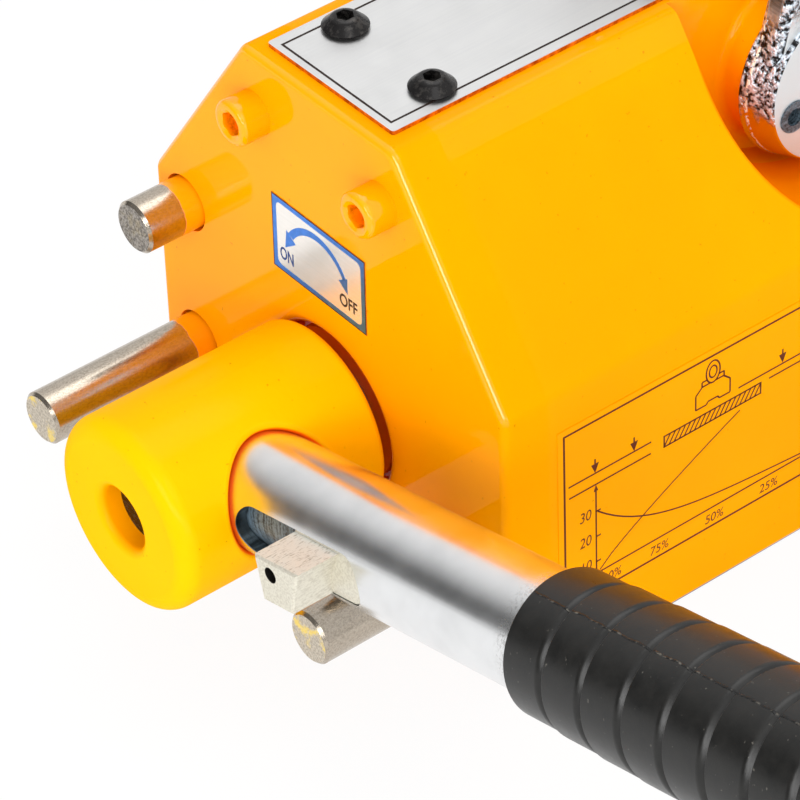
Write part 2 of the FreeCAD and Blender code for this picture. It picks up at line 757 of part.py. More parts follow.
shackle_pin = placed(turned([
    (0, -ear_outer_y, 0),
    (shackle_pin_radius - shackle_pin_chamfer, -ear_outer_y, 0),
    (shackle_pin_radius, shackle_pin_chamfer - ear_outer_y, 0),
    (shackle_pin_radius, ear_outer_y - shackle_pin_chamfer, 0),
    (shackle_pin_radius - shackle_pin_chamfer, ear_outer_y, 0),
    (0, ear_outer_y, 0),
]), pin_centre, ALONG_Y)
shackle_roll_pin = rod_y(
    roll_pin_radius, -ear_outer_y - roll_pin_proud, -ear_inner_y, roll_pin_x, roll_pin_z)
shackle_roll_pin = shackle_roll_pin.cut(
    rod_y(roll_pin_bore, -ear_outer_y - roll_pin_proud, -ear_inner_y, roll_pin_x, roll_pin_z))

pieces = {
    "pole_near": pole_near,
    "pole_far": pole_far,
    "top_bridge": top_bridge,
    "bottom_spacer": bottom_spacer,
    "stator_magnet": stator_magnet,
    "front_cover": front_cover,
    "rear_cover": rear_cover,
    "front_cover_screws": front_cover_screws,
    "rear_cover_screws": rear_cover_screws,
    "front_bush": front_bush,
    "rear_bush": rear_bush,
    "off_stop_pin": off_stop_pin,
    "on_stop_pin": on_stop_pin,
    "latch_pin": latch_pin,
    "rating_plate": rating_plate,
    "plate_screws": plate_screws,
    "switch_label": switch_label,
    "chart_label": chart_label,
    "rotor_pole_upper": rotor_pole_upper,
    "rotor_pole_lower": rotor_pole_lower,
    "rotor_magnet": rotor_magnet,
    "rotor_spacers": rotor_spacers,
    "front_journal": front_journal,
    "rear_journal": rear_journal,
    "journal_screws": journal_screws,
    "hub": hub,
    "hub_key": hub_key,
    "hub_grub_screw": hub_grub_screw,
    "handle_tube": handle_tube,
    "grip": grip,
    "latch_slug": latch_slug,
    "latch_block": latch_block,
    "latch_spring": latch_spring,
    "shackle": shackle,
    "shackle_pin": shackle_pin,
    "shackle_roll_pin": shackle_roll_pin,
}
os.makedirs("parts", exist_ok=True)
for name, shape in pieces.items():
    shape.exportStep("parts/" + name + ".step")
print("handle rests at", round(rest_angle, 4), "degrees above the horizontal")
print("handle turns", round(180 - 2 * rest_angle, 4), "degrees")
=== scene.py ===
import json
import math

import bmesh
import bpy
from mathutils import Matrix, Vector


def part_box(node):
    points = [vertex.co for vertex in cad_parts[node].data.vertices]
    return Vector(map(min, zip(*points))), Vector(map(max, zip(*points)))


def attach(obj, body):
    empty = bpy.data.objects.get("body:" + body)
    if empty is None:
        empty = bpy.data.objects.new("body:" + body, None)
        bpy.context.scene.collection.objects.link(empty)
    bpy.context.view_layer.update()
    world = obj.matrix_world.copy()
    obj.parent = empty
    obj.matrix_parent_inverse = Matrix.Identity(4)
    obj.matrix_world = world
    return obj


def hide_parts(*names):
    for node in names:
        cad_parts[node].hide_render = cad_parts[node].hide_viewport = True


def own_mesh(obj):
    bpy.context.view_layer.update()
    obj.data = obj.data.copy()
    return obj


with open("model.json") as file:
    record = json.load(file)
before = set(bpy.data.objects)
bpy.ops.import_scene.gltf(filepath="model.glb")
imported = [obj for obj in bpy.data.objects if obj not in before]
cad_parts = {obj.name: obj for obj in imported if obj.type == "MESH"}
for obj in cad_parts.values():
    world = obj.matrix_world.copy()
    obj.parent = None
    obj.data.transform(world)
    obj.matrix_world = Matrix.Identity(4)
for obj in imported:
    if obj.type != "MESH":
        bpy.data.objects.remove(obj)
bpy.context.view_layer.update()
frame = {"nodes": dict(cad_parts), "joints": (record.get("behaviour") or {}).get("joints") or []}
nodes = frame["nodes"]
scene = bpy.context.scene
scene.view_settings.view_transform = "Standard"

MM = 0.001

# Places read from the frame, in metres
FRONT_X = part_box("front_cover")[0].x
label_low, label_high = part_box("switch_label")
film_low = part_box("chart_label")[0]
plate_low, plate_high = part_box("rating_plate")
caps_low, caps_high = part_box("front_cover_screws")
CAP_RADIUS = (caps_high.z - caps_low.z) / 2
CAP_PLACE = Vector((0, caps_high.y - CAP_RADIUS, (caps_low.z + caps_high.z) / 2))
CAP_END = -caps_low.x
joints = {joint["name"]: joint for joint in frame["joints"]}
slide = joints["latch_slide"]
slide_axis = Vector(slide["axis"])
HANDLE_TILT = math.atan2(-slide_axis.z, slide_axis.y)
HANDLE_AXIS_POINT = Vector(joints["handle_turn"]["pos_m"])
SHACKLE_PIN_Z = Vector(joints["shackle_swing"]["pos_m"]).z

# Places of the looks on their pieces, in metres or radians
GRIP_START = 119.4 * MM
STAIN_LENGTH = 7 * MM
SEAM_TURN = math.radians(70)
EAR_TOP = SHACKLE_PIN_Z + 23.6 * MM
EAR_EDGE_Y = 32.4 * MM
POCKET_RADIUS = 37.5 * MM
POCKET_MIDDLE = Vector((0, 0, SHACKLE_PIN_Z + 12.7 * MM))
LATCH_HOLE_PLACE = Vector((0, -50.0, 2.2)) * MM

# Where one look gives way to another: start and end of the change, in metres
POCKET_FADE = (POCKET_RADIUS + 0.2 * MM, POCKET_RADIUS + 0.6 * MM)
BARE_FACE_FADE = (0.2 * MM, 0.5 * MM)
RECESS_FLOOR_FADE = (FRONT_X + 0.4 * MM, FRONT_X + 1.6 * MM)
RECESS_FADE = (25 * MM, 26 * MM)
FRONT_END_FADE = (-1 * MM, 1 * MM)
WORN_SIDE_FADE = (-42 * MM, -12 * MM)
SOCKET_FLOOR_FADE = (CAP_END - 1.6 * MM, CAP_END - 0.6 * MM)
SOCKET_FADE = (2.6 * MM, 3.4 * MM)
NOSE_HOLE_FADE = (7.0 * MM, 9.6 * MM)
TUBE_HOLE_FADE = (14 * MM, 14.5 * MM)
TUBE_SIDE_FADE = (-2 * MM, 0.0)
TUBE_CUT_FADE = (13.2 * MM, 13.4 * MM)
PIN_ROOT_FADE = (FRONT_X - 4.9 * MM, FRONT_X - 4.6 * MM)
EAR_FADE = (EAR_TOP - 6 * MM, EAR_TOP)
LUMPS_FADE = (SHACKLE_PIN_Z - 4 * MM, SHACKLE_PIN_Z)
UNSEEN_FADE = (SHACKLE_PIN_Z + 30 * MM, SHACKLE_PIN_Z + 60 * MM)
EAR_EDGE_GLINT_FADE = (0.2 * MM, 0.5 * MM)
GRIP_SEAM_FADE = (0.1 * MM, 0.3 * MM)
LATCH_HOLE_FADE = (1.84 * MM, 1.9 * MM)

# Band that holds most values of a noise
NOISE_BAND = (0.3, 0.7)


# Colours and shader nodes

def srgb(red, green, blue):
    """Linear colour from sRGB values of 0 to 255."""
    def linear(value):
        value /= 255
        return value / 12.92 if value <= 0.04045 else ((value + 0.055) / 1.055) ** 2.4
    return (linear(red), linear(green), linear(blue), 1.0)


def grey(level):
    """Grey of a linear level."""
    return (level, level, level, 1.0)


def principled(material):
    """Node tree of a material and its Principled shader."""
    tree = material.node_tree
    return tree, tree.nodes["Principled BSDF"]


def new_material(name):
    """Material with a Principled shader, returned with its tree and that shader."""
    material = bpy.data.materials.new(name)
    material.use_nodes = True
    return (material, *principled(material))


def place(tree, stretch=(1, 1, 1), tilt=0.0, origin=(0, 0, 0)):
    """Coordinates in metres from an origin, tilted with the handle first and then stretched."""
    coords = tree.nodes.new("ShaderNodeTexCoord")
    mapping = tree.nodes.new("ShaderNodeMapping")
    mapping.vector_type = "TEXTURE"
    mapping.inputs["Location"].default_value = origin
    mapping.inputs["Rotation"].default_value = (-tilt, 0, 0)
    mapping.inputs["Scale"].default_value = [1 / s for s in stretch]
    tree.links.new(coords.outputs["Object"], mapping.inputs["Vector"])
    return mapping.outputs["Vector"]


def handle_place(tree):
    """Coordinates from the rotor axis, with the grip along -Y."""
    return place(tree, tilt=HANDLE_TILT, origin=HANDLE_AXIS_POINT)


def noise(tree, where, scale, detail=3.0, roughness=0.5):
    """Noise with this many features per metre."""
    texture = tree.nodes.new("ShaderNodeTexNoise")
    texture.inputs["Scale"].default_value = scale
    texture.inputs["Detail"].default_value = detail
    texture.inputs["Roughness"].default_value = roughness
    tree.links.new(where, texture.inputs["Vector"])
    return texture.outputs["Fac"]


def ramp(tree, factor, low, high, start=0.0, end=1.0):
    """Colour that goes from low to high as the factor goes from start to end."""
    node = tree.nodes.new("ShaderNodeValToRGB")
    node.color_ramp.elements[0].position = start
    node.color_ramp.elements[0].color = low
    node.color_ramp.elements[1].position = end
    node.color_ramp.elements[1].color = high
    tree.links.new(factor, node.inputs["Fac"])
    return node.outputs["Color"]


def levels(tree, factor, stops):
    """Grey level that follows the factor through several stops."""
    node = tree.nodes.new("ShaderNodeValToRGB")
    while len(node.color_ramp.elements) < len(stops):
        node.color_ramp.elements.new(0.5)
    for element, (position, level) in zip(node.color_ramp.elements, stops):
        element.position = position
        element.color = grey(level)
    tree.links.new(factor, node.inputs["Fac"])
    return node.outputs["Color"]


def span(tree, value, low, high, start=0.0, end=1.0):
    """Number that goes from low to high as the value goes from start to end."""
    node = tree.nodes.new("ShaderNodeMapRange")
    node.inputs["From Min"].default_value = start
    node.inputs["From Max"].default_value = end
    node.inputs["To Min"].default_value = low
    node.inputs["To Max"].default_value = high
    tree.links.new(value, node.inputs["Value"])
    return node.outputs["Result"]


def above(tree, value, start, end, most=1.0):
    """Mask that rises from 0 to its most as the value goes from start to end."""
    return span(tree, value, 0.0, most, start, end)


def below(tree, value, start, end, most=1.0):
    """Mask that falls from its most to 0 as the value goes from start to end."""
    return span(tree, value, most, 0.0, start, end)


def math_node(tree, operation, first, second=0.0):
    """Arithmetic on one or two values, each a socket or a number."""
    node = tree.nodes.new("ShaderNodeMath")
    node.operation = operation
    for socket, value in zip(node.inputs, (first, second)):
        if isinstance(value, (int, float)):
            socket.default_value = value
        else:
            tree.links.new(value, socket)
    return node.outputs["Value"]


def both(tree, first, second):
    """Product of two masks, or of a height and a mask."""
    return math_node(tree, "MULTIPLY", first, second)


def opposite(tree, mask):
    """Mask that is 1 where another is 0."""
    return math_node(tree, "SUBTRACT", 1.0, mask)


def mix_colours(tree, factor, first, second):
    """Colour between two others, each a socket or a constant."""
    node = tree.nodes.new("ShaderNodeMix")
    node.data_type = "RGBA"
    tree.links.new(factor, node.inputs["Factor"])
    for name, value in (("A", first), ("B", second)):
        socket = [s for s in node.inputs if s.name == name and s.type == "RGBA"][0]
        if isinstance(value, tuple):
            socket.default_value = value
        else:
            tree.links.new(value, socket)
    return [s for s in node.outputs if s.type == "RGBA"][0]


def feed(tree, shader, name, value):
    """Connects a socket to an input of a shader."""
    tree.links.new(value, shader.inputs[name])


def bump(tree, shader, height, strength, distance):
    """Relief on a shader, with the distance in metres, on top of any it already has."""
    node = tree.nodes.new("ShaderNodeBump")
    node.inputs["Strength"].default_value = strength
    node.inputs["Distance"].default_value = distance
    if shader.inputs["Normal"].links:
        tree.links.new(shader.inputs["Normal"].links[0].from_socket, node.inputs["Normal"])
    tree.links.new(height, node.inputs["Height"])
    feed(tree, shader, "Normal", node.outputs["Normal"])


def axis_of(tree, vector, axis):
    """One coordinate of a vector socket."""
    node = tree.nodes.new("ShaderNodeSeparateXYZ")
    tree.links.new(vector, node.inputs["Vector"])
    return node.outputs[axis]


def normal_along(tree, axis):
    """One coordinate of the surface's normal."""
    return axis_of(tree, tree.nodes.new("ShaderNodeNewGeometry").outputs["Normal"], axis)


def from_line(tree, where, point, keep):
    """Distance from a line through a point, along the axis that keep leaves out."""
    offset = tree.nodes.new("ShaderNodeVectorMath")
    offset.operation = "SUBTRACT"
    tree.links.new(where, offset.inputs[0])
    offset.inputs[1].default_value = point
    flat = tree.nodes.new("ShaderNodeVectorMath")
    flat.operation = "MULTIPLY"
    tree.links.new(offset.outputs["Vector"], flat.inputs[0])
    flat.inputs[1].default_value = keep
    length = tree.nodes.new("ShaderNodeVectorMath")
    length.operation = "LENGTH"
    tree.links.new(flat.outputs["Vector"], length.inputs[0])
    return length.outputs["Value"]


# What from_line keeps, for the distance from a line along X or along Y
ROUND_X, ROUND_Y = (0, 1, 1), (1, 0, 1)


def overlay(tree, shader, mask, colour):
    """Puts another colour over the base colour where the mask is 1."""
    base = shader.inputs["Base Color"].links[0].from_socket
    feed(tree, shader, "Base Color", mix_colours(tree, mask, base, colour))


def roughen(tree, shader, mask, amount):
    """Adds to the roughness where the mask is 1."""
    gloss = shader.inputs["Roughness"].links[0].from_socket
    more = math_node(tree, "MULTIPLY", mask, amount)
    feed(tree, shader, "Roughness", math_node(tree, "ADD", gloss, more))


# Materials

BODY_YELLOW = srgb(255, 163, 0)
BODY_YELLOW_DEEP = srgb(253, 158, 0)
HUB_YELLOW = srgb(255, 187, 0)
HUB_YELLOW_DEEP = srgb(255, 182, 0)
PAINT_SPECK = srgb(150, 84, 0)
# Painted shade inside the pockets round the shackle
POCKET_SHADE_ORANGE = srgb(255, 136, 0)
# Painted shade for the recess behind the hub
RECESS_SHADE_ORANGE = srgb(255, 118, 0)
# Painted shade for the hole in the hub's nose
NOSE_HOLE_SHADE_ORANGE = srgb(255, 160, 0)
# Painted shade for the hub round the tube's entry
TUBE_HOLE_SHADE_ORANGE = srgb(255, 100, 0)
SMEARED_PAINT = srgb(226, 196, 62)
TUBE_STAIN = srgb(126, 122, 116)
GROUND_PLATING = srgb(204, 208, 210)
# Painted glints dotted along the shackle ears' back edges
EAR_EDGE_GLINT = srgb(250, 236, 214)
RUBBER_DUST = srgb(120, 116, 108)
# Painted shade in the latch block's hole
LATCH_HOLE_SHADE = srgb(28, 25, 22)


def enamel(name, colour, deep_colour, coat=0.0, coat_roughness=0.04, peel=0.06):
    """Stove enamel with slight orange peel and a few dust specks."""
    material, tree, shader = new_material(name)
    where = place(tree)
    tone = ramp(tree, noise(tree, where, 30, detail=4), deep_colour, colour, *NOISE_BAND)
    specks = above(tree, noise(tree, where, 800, detail=1), 0.75, 0.8, most=0.4)
    feed(tree, shader, "Base Color", mix_colours(tree, specks, tone, PAINT_SPECK))
    feed(tree, shader, "Roughness",
         span(tree, noise(tree, where, 160), 0.32, 0.45, *NOISE_BAND))
    shader.inputs["Coat Weight"].default_value = coat
    shader.inputs["Coat Roughness"].default_value = coat_roughness
    shader.inputs["Specular IOR Level"].default_value = 0.0
    bump(tree, shader, noise(tree, where, 420, detail=1), strength=peel, distance=0.4 * MM)
    return material


def pole_enamel():
    """Enamel over the poles, darkened to a deeper orange in the pockets as painted shade; the faces
    underneath are bare ground steel.
    """
    material = enamel("pole_enamel", BODY_YELLOW, BODY_YELLOW_DEEP, coat=0.06)
    tree, shader = principled(material)
    where = place(tree)
    # Painted shade: a deeper orange inside the pockets round the shackle
    pocket = below(tree, from_line(tree, where, POCKET_MIDDLE, ROUND_Y), *POCKET_FADE)
    overlay(tree, shader, pocket, POCKET_SHADE_ORANGE)
    bare = below(tree, axis_of(tree, where, "Z"), *BARE_FACE_FADE)
    lines = noise(tree, place(tree, stretch=(0.02, 1, 1)), 1500, detail=2)
    steel = ramp(tree, lines, srgb(120, 120, 122), srgb(190, 190, 192), *NOISE_BAND)
    overlay(tree, shader, bare, steel)
    feed(tree, shader, "Metallic", bare)
    return material


def cover_enamel():
    """Enamel of the end covers, darkened in the recess behind the hub as painted shade, and dulled
    on one side.
    """
    material = enamel("cover_enamel", BODY_YELLOW, BODY_YELLOW_DEEP, coat_roughness=0.05)
    tree, shader = principled(material)
    where = place(tree)
    endwise = axis_of(tree, where, "X")
    # Painted shade: a deeper orange on the recess behind the hub, the front bush included
    deep = both(tree, above(tree, endwise, *RECESS_FLOOR_FADE),
                below(tree, endwise, *FRONT_END_FADE))
    behind_hub = below(tree, from_line(tree, where, HANDLE_AXIS_POINT, ROUND_X), *RECESS_FADE)
    overlay(tree, shader, both(tree, deep, behind_hub), RECESS_SHADE_ORANGE)
    endways = math_node(tree, "ABSOLUTE", normal_along(tree, "X"))
    flats = levels(tree, endways,
                   ((0.0, 0.06), (0.3, 0.06), (0.7, 0.15), (0.97, 0.36), (1.0, 0.36)))
    worn = span(tree, axis_of(tree, where, "Y"), 0.3, 1.0, *WORN_SIDE_FADE)
    rounding = levels(tree, endways,
                      ((0.0, 0.0), (0.2, 0.0), (0.3, 1.0), (0.92, 1.0), (0.97, 0.0)))
    upward = above(tree, normal_along(tree, "Z"), 0.05, 0.25)
    gloss = math_node(tree, "MAXIMUM", both(tree, flats, worn), both(tree, rounding, upward))
    feed(tree, shader, "Coat Weight", gloss)
    return material


def screw_enamel():
    """Thick enamel on the cap screws, with a mottled painted shade deep in their sockets."""
    material = enamel("screw_enamel", BODY_YELLOW, BODY_YELLOW_DEEP, coat=0.8, peel=0.15)
    tree, shader = principled(material)
    where = place(tree)
    mirror = tree.nodes.new("ShaderNodeVectorMath")
    mirror.operation = "ABSOLUTE"
    tree.links.new(where, mirror.inputs[0])
    folded = mirror.outputs["Vector"]
    # Painted shade: a mottled deep orange down in the sockets
    deep = below(tree, axis_of(tree, folded, "X"), *SOCKET_FLOOR_FADE)
    middle = below(tree, from_line(tree, folded, CAP_PLACE, ROUND_X), *SOCKET_FADE)
    socket_shade = ramp(tree, noise(tree, where, 420, detail=5, roughness=0.65),
                srgb(150, 58, 0), srgb(252, 128, 0), 0.36, 0.56)
    overlay(tree, shader, both(tree, deep, middle), socket_shade)
    return material


def hub_enamel():
    """Paler enamel of the hub, with a deeper orange painted as shade in and round its two holes."""
    material = enamel("hub_enamel", HUB_YELLOW, HUB_YELLOW_DEEP,
                      coat=0.08, coat_roughness=0.2, peel=0.09)
    tree, shader = principled(material)
    # Painted shade: a deeper orange in the nose hole
    nose = from_line(tree, place(tree), HANDLE_AXIS_POINT, ROUND_X)
    overlay(tree, shader, below(tree, nose, *NOSE_HOLE_FADE), NOSE_HOLE_SHADE_ORANGE)
    # Painted shade: a red-orange round the tube's entry, on its side of the hub
    handle = handle_place(tree)
    hole = below(tree, from_line(tree, handle, (0, 0, 0), ROUND_Y), *TUBE_HOLE_FADE)
    tube_side = below(tree, axis_of(tree, handle, "Y"), *TUBE_SIDE_FADE)
    overlay(tree, shader, both(tree, hole, tube_side), TUBE_HOLE_SHADE_ORANGE)
    return material


def zinc(name, light, dark, streaks, gloss, tilt=0.0, metallic=1.0, relief=0.3, grain=1700):
    """Plated steel with fine machining lines and pits; streaks says how the lines are stretched."""
    material, tree, shader = new_material(name)
    where = place(tree)
    lines = noise(tree, place(tree, stretch=streaks, tilt=tilt), grain)
    pits = noise(tree, where, grain, roughness=0.65)
    cloud = noise(tree, where, 140, detail=5, roughness=0.6)
    tone = math_node(tree, "ADD", lines, pits)
    feed(tree, shader, "Base Color",
         ramp(tree, math_node(tree, "MULTIPLY", tone, 0.5), dark, light, 0.38, 0.56))
    feed(tree, shader, "Roughness", span(tree, cloud, gloss, gloss * 1.4, *NOISE_BAND))
    shader.inputs["Metallic"].default_value = metallic
    bump(tree, shader, tone, strength=relief, distance=0.05 * MM)
    return material


def pin_zinc(name, end_light, end_dark, smeared):
    """Ground pins, painted over at the root and smeared with paint on their ends."""
    material = zinc(name, srgb(192, 181, 166), srgb(168, 157, 142), streaks=(0.6, 1, 1),
                    gloss=0.19, relief=0.14, grain=2500)
    tree, shader = principled(material)
    where = place(tree)
    end_face = below(tree, normal_along(tree, "X"), -0.98, -0.9)
    grain = noise(tree, where, 1700, detail=6, roughness=0.6)
    overlay(tree, shader, end_face, ramp(tree, grain, end_dark, end_light, 0.35, 0.62))
    blots = above(tree, noise(tree, where, 150, detail=5, roughness=0.65), 0.52, 0.6, most=smeared)
    smear = both(tree, end_face, blots)
    overlay(tree, shader, smear, SMEARED_PAINT)
    ragged = span(tree, noise(tree, where, 160, detail=4), -1.2 * MM, 1.2 * MM)
    along = math_node(tree, "ADD", axis_of(tree, where, "X"), ragged)
    root = above(tree, along, *PIN_ROOT_FADE)
    overlay(tree, shader, root, BODY_YELLOW)
    paint = math_node(tree, "MAXIMUM", root, smear)
    feed(tree, shader, "Metallic", opposite(tree, paint))
    roughen(tree, shader, end_face, 0.35)
    return material


def chrome(name, colour, rough_low, rough_high, tilt=0.0):
    """Bright plating with a slightly uneven gloss and faint polishing lines."""
    material, tree, shader = new_material(name)
    cloud = noise(tree, place(tree), 90, detail=4)
    lines = noise(tree, place(tree, stretch=(0.06, 1, 0.06), tilt=tilt), 1400)
    worn = tuple(c * 0.9 for c in colour[:3]) + (1.0,)
    feed(tree, shader, "Base Color", ramp(tree, cloud, worn, colour, 0.3, 0.6))
    feed(tree, shader, "Roughness", span(tree, cloud, rough_low, rough_high, *NOISE_BAND))
    shader.inputs["Metallic"].default_value = 1.0
    bump(tree, shader, lines, strength=0.08, distance=0.03 * MM)
    return material


def tube_chrome():
    """Plated tube, speckled with residue just before the grip and darker in its cut edges."""
    material = chrome("tube_chrome", srgb(238, 239, 240), rough_low=0.2, rough_high=0.26,
                      tilt=HANDLE_TILT)
    tree, shader = principled(material)
    handle = handle_place(tree)
    near_grip = below(tree, axis_of(tree, handle, "Y"),
                      -GRIP_START, -GRIP_START + STAIN_LENGTH, most=0.7)
    grain = noise(tree, place(tree), 1500, roughness=0.7)
    stain = both(tree, near_grip, above(tree, grain, 0.48, 0.6))
    overlay(tree, shader, stain, TUBE_STAIN)
    roughen(tree, shader, stain, 0.3)
    cut = below(tree, from_line(tree, handle, (0, 0, 0), ROUND_Y), *TUBE_CUT_FADE)
    rings = noise(tree, place(tree, stretch=(0.05, 1, 0.05), tilt=HANDLE_TILT), 1500)
    overlay(tree, shader, cut,
            ramp(tree, rings, srgb(58, 62, 63), srgb(128, 134, 136), 0.35, 0.65))
    bump(tree, shader, grain, strength=0.06, distance=0.03 * MM)
    return material


def cast_chrome():
    """Plated casting: lumpy above the pin with its reflections painted in black and white, brushed
    on the legs' sides, ground flat on its ears, and dotted with painted glints along the ears' back
    edges.
    """
    material = chrome("cast_chrome", srgb(240, 240, 240), rough_low=0.06, rough_high=0.14)
    tree, shader = principled(material)
    where = place(tree)
    height = axis_of(tree, where, "Z")
    facing = math_node(tree, "ABSOLUTE", normal_along(tree, "Y"))
    sideways = math_node(tree, "ABSOLUTE", normal_along(tree, "X"))
    on_ear = below(tree, height, *EAR_FADE)
    ground = both(tree, above(tree, facing, 0.96, 0.99), on_ear)
    brushed = both(tree, above(tree, sideways, 0.9, 0.96), opposite(tree, on_ear))
    flat = math_node(tree, "MAXIMUM", ground, brushed)

    ragged = span(tree, noise(tree, where, 250, detail=4), -5 * MM, 5 * MM, 0.25, 0.75)
    over_pin = above(tree, math_node(tree, "ADD", height, ragged), *LUMPS_FADE)
    seen = span(tree, height, 1.0, 0.15, *UNSEEN_FADE)
    lump_and_reflection_mask = both(tree, both(tree, over_pin, seen), opposite(tree, flat))
    # The lumps get real relief, and a black-and-white base colour painted as their reflections
    lumps_and_reflections = noise(tree, where, 800, roughness=0.55)
    bump(tree, shader, both(tree, lumps_and_reflections, lump_and_reflection_mask), strength=1.0, distance=0.9 * MM)
    overlay(tree, shader, lump_and_reflection_mask,
            ramp(tree, lumps_and_reflections, srgb(18, 19, 20), srgb(222, 234, 246), 0.43, 0.6))

    overlay(tree, shader, ground, GROUND_PLATING)
    scratches = noise(tree, place(tree, stretch=(1, 1, 0.05)), 1500)
    bump(tree, shader, both(tree, scratches, flat), strength=0.3, distance=0.05 * MM)
    strokes = noise(tree, place(tree, stretch=(1, 0.06, 1)), 1300)
    overlay(tree, shader, brushed,
            ramp(tree, strokes, srgb(54, 53, 52), srgb(132, 130, 127), 0.35, 0.65))

    # Painted glints: pale dots along the ears' back edges, with a little relief under them
    folded = math_node(tree, "ABSOLUTE", axis_of(tree, where, "Y"))
    off_line = math_node(tree, "ABSOLUTE", math_node(tree, "SUBTRACT", folded, EAR_EDGE_Y))
    dots = above(tree, noise(tree, where, 1000, detail=2), 0.47, 0.53)
    line_mark = both(tree, below(tree, off_line, *EAR_EDGE_GLINT_FADE), dots)
    line_mark = both(tree, line_mark, math_node(tree, "SUBTRACT", on_ear, flat))
    overlay(tree, shader, line_mark, EAR_EDGE_GLINT)
    bump(tree, shader, line_mark, strength=0.6, distance=0.4 * MM)

    dull = math_node(tree, "MAXIMUM", math_node(tree, "MULTIPLY", flat, 0.65), line_mark)
    dull = math_node(tree, "MAXIMUM", math_node(tree, "MULTIPLY", lump_and_reflection_mask, 0.35), dull)
    feed(tree, shader, "Metallic", opposite(tree, dull))
    roughen(tree, shader, flat, 0.12)
    return material


def rubber():
    """Satin black rubber with dust, fine grain and the moulding seam along both sides, its line
    painted near black as shade under the ridge, with pale flash bits.
    """
    material, tree, shader = new_material("grip_rubber")
    where = place(tree)
    dust = noise(tree, where, 240, detail=6, roughness=0.7)
    plain = ramp(tree, dust, srgb(19, 19, 18), srgb(31, 30, 28), 0.35, 0.75)
    specks = above(tree, noise(tree, where, 900, detail=2), 0.71, 0.77, most=0.45)
    dusty = mix_colours(tree, specks, plain, RUBBER_DUST)
    across = tree.nodes.new("ShaderNodeVectorMath")
    across.operation = "DOT_PRODUCT"
    across.inputs[1].default_value = (math.sin(SEAM_TURN), 0, math.cos(SEAM_TURN))
    tree.links.new(handle_place(tree), across.inputs[0])
    ragged = span(tree, noise(tree, where, 300, detail=4), -0.2 * MM, 0.2 * MM, *NOISE_BAND)
    off_line = math_node(
        tree, "ABSOLUTE", math_node(tree, "ADD", across.outputs["Value"], ragged))
    # The seam line is drawn near black as painted shade along its ridge, with pale flash bits
    line_mark = below(tree, off_line, *GRIP_SEAM_FADE)
    flash = above(tree, noise(tree, where, 700), 0.52, 0.66)
    shade_and_flash = ramp(tree, flash, srgb(8, 8, 8), srgb(96, 92, 84))
    feed(tree, shader, "Base Color", mix_colours(tree, line_mark, dusty, shade_and_flash))
    feed(tree, shader, "Roughness", span(tree, dust, 0.27, 0.38, *NOISE_BAND))
    shader.inputs["Specular IOR Level"].default_value = 0.4
    bump(tree, shader, noise(tree, where, 1800, detail=2), strength=0.12, distance=0.08 * MM)
    bump(tree, shader, line_mark, strength=0.7, distance=0.3 * MM)
    return material


def latch_zinc():
    """Pale plated finger block, scratched along X on its top, with painted shade in the hole in its
    front.
    """
    material = zinc("latch_zinc", srgb(219, 215, 200), srgb(197, 191, 175), streaks=(0.3, 1, 1),
                    gloss=0.38, tilt=HANDLE_TILT, metallic=0.5)
    tree, shader = principled(material)
    top = above(tree, normal_along(tree, "Z"), 0.8, 0.95)
    scratches = noise(tree, place(tree, stretch=(0.25, 1, 1)), 2400, detail=4, roughness=0.65)
    overlay(tree, shader, top,
            ramp(tree, scratches, srgb(160, 154, 140), srgb(218, 217, 208), 0.34, 0.46))
    # Painted shade: near black in the hole in the block's front
    hole = from_line(tree, handle_place(tree), LATCH_HOLE_PLACE, ROUND_X)
    overlay(tree, shader, below(tree, hole, *LATCH_HOLE_FADE), LATCH_HOLE_SHADE)
    return material


def sheet_metal(name, light, dark, rough, streaks, face_axis, metallic):
    """Brushed sheet with a few faint scuffs and mottled brown-orange edges round its face."""
    material, tree, shader = new_material(name)
    where = place(tree)
    lines = noise(tree, place(tree, stretch=streaks), 1600)
    scuffs = noise(tree, where, 60, detail=6, roughness=0.7)
    facing = math_node(tree, "ABSOLUTE", normal_along(tree, face_axis))
    edge = below(tree, facing, 0.3, 0.7)
    brushed = ramp(tree, lines, dark, light, *NOISE_BAND)
    edge_mottle = noise(tree, where, 420, detail=4, roughness=0.65)
    brown_edges = ramp(tree, edge_mottle, srgb(168, 92, 24), srgb(238, 168, 60), 0.36, 0.64)
    feed(tree, shader, "Base Color", mix_colours(tree, edge, brushed, brown_edges))
    feed(tree, shader, "Roughness", span(tree, scuffs, rough * 0.85, rough * 1.2, 0.35, 0.65))
    shader.inputs["Metallic"].default_value = metallic
    bump(tree, shader, lines, strength=0.03, distance=0.02 * MM)
    return material


def ink(name, colour, metallic=0.0):
    """Printed colour with a slightly uneven cover."""
    material, tree, shader = new_material(name)
    cover = noise(tree, place(tree), 700)
    pale = tuple(min(1.0, c * 1.25 + 0.01) for c in colour[:3]) + (1.0,)
    feed(tree, shader, "Base Color", ramp(tree, cover, colour, pale, 0.45, 0.8))
    shader.inputs["Roughness"].default_value = 0.3
    shader.inputs["Specular IOR Level"].default_value = 0.1
    shader.inputs["Metallic"].default_value = metallic
    return material


def black_oxide():
    """Blackened steel of the button heads, with rubbed and dusty spots."""
    material, tree, shader = new_material("black_oxide")
    rubbed = noise(tree, place(tree), 520, detail=5, roughness=0.65)
    feed(tree, shader, "Base Color",
         ramp(tree, rubbed, srgb(26, 24, 24), srgb(88, 84, 80), 0.5, 0.8))
    feed(tree, shader, "Roughness", span(tree, rubbed, 0.16, 0.36, *NOISE_BAND))
    shader.inputs["Metallic"].default_value = 0.5
    bump(tree, shader, rubbed, strength=0.25, distance=0.12 * MM)
    return material


